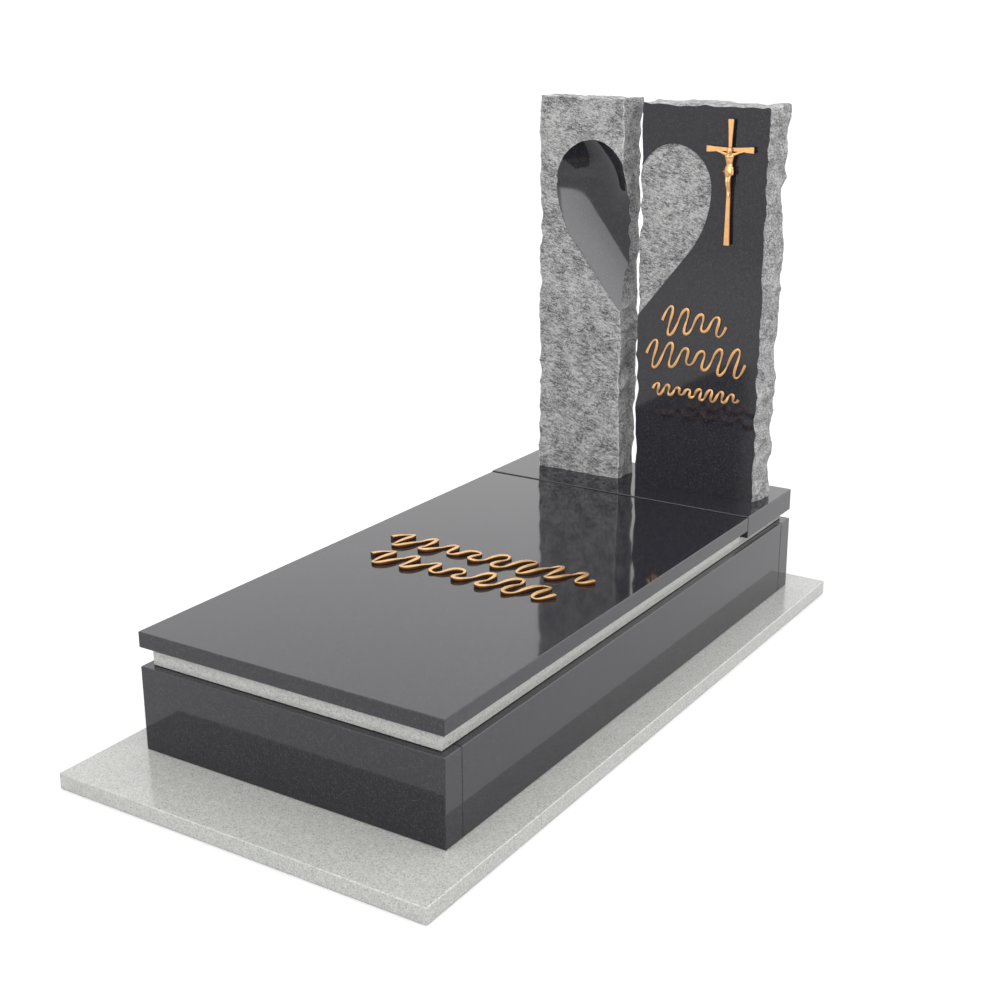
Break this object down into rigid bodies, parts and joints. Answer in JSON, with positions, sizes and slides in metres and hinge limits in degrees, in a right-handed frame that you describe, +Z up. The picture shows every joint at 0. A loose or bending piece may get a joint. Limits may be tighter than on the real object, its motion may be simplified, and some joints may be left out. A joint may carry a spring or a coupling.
{
  "type": "grave monument",
  "caption": "Kerbed grave monument: border, kerb, polished ledger and a pair of upright steles that form a heart across the gap between them, with a crucifix.",
  "frame": {"origin": "middle of the base border's underside, at ground level", "axes": "+Z up, +X to the right as seen from the foot of the grave, +Y towards the headstone"},
  "size_m": [1.082, 2.2, 1.5415],
  "materials": {
    "dark_granite": "polished dark granite with fine light specks",
    "light_granite": "light grey granite, salt and pepper, polished",
    "rough_granite": "split and hewn granite, light grey; the hollow is polished dark",
    "gold_casting": "satin gold-coloured casting"
  },
  "bodies": {
    "root": {"kerb_front": "dark_granite", "kerb_rear": "dark_granite", "kerb_left": "dark_granite", "kerb_right": "dark_granite", "ledger": "dark_granite", "socle": "dark_granite", "right_stele": "dark_granite", "base_front": "light_granite", "base_left": "light_granite", "base_right": "light_granite", "base_rear": "light_granite", "strip_front": "light_granite", "strip_left": "light_granite", "strip_right": "light_granite", "socle_strip_left": "light_granite", "socle_strip_right": "light_granite", "socle_strip_rear": "light_granite", "left_stele": "rough_granite", "crucifix": "gold_casting", "script_row_1": "gold_casting", "script_row_2": "gold_casting", "script_row_3": "gold_casting", "ledger_row_1": "gold_casting", "ledger_row_2": "gold_casting"}
  },
  "joints": []
}
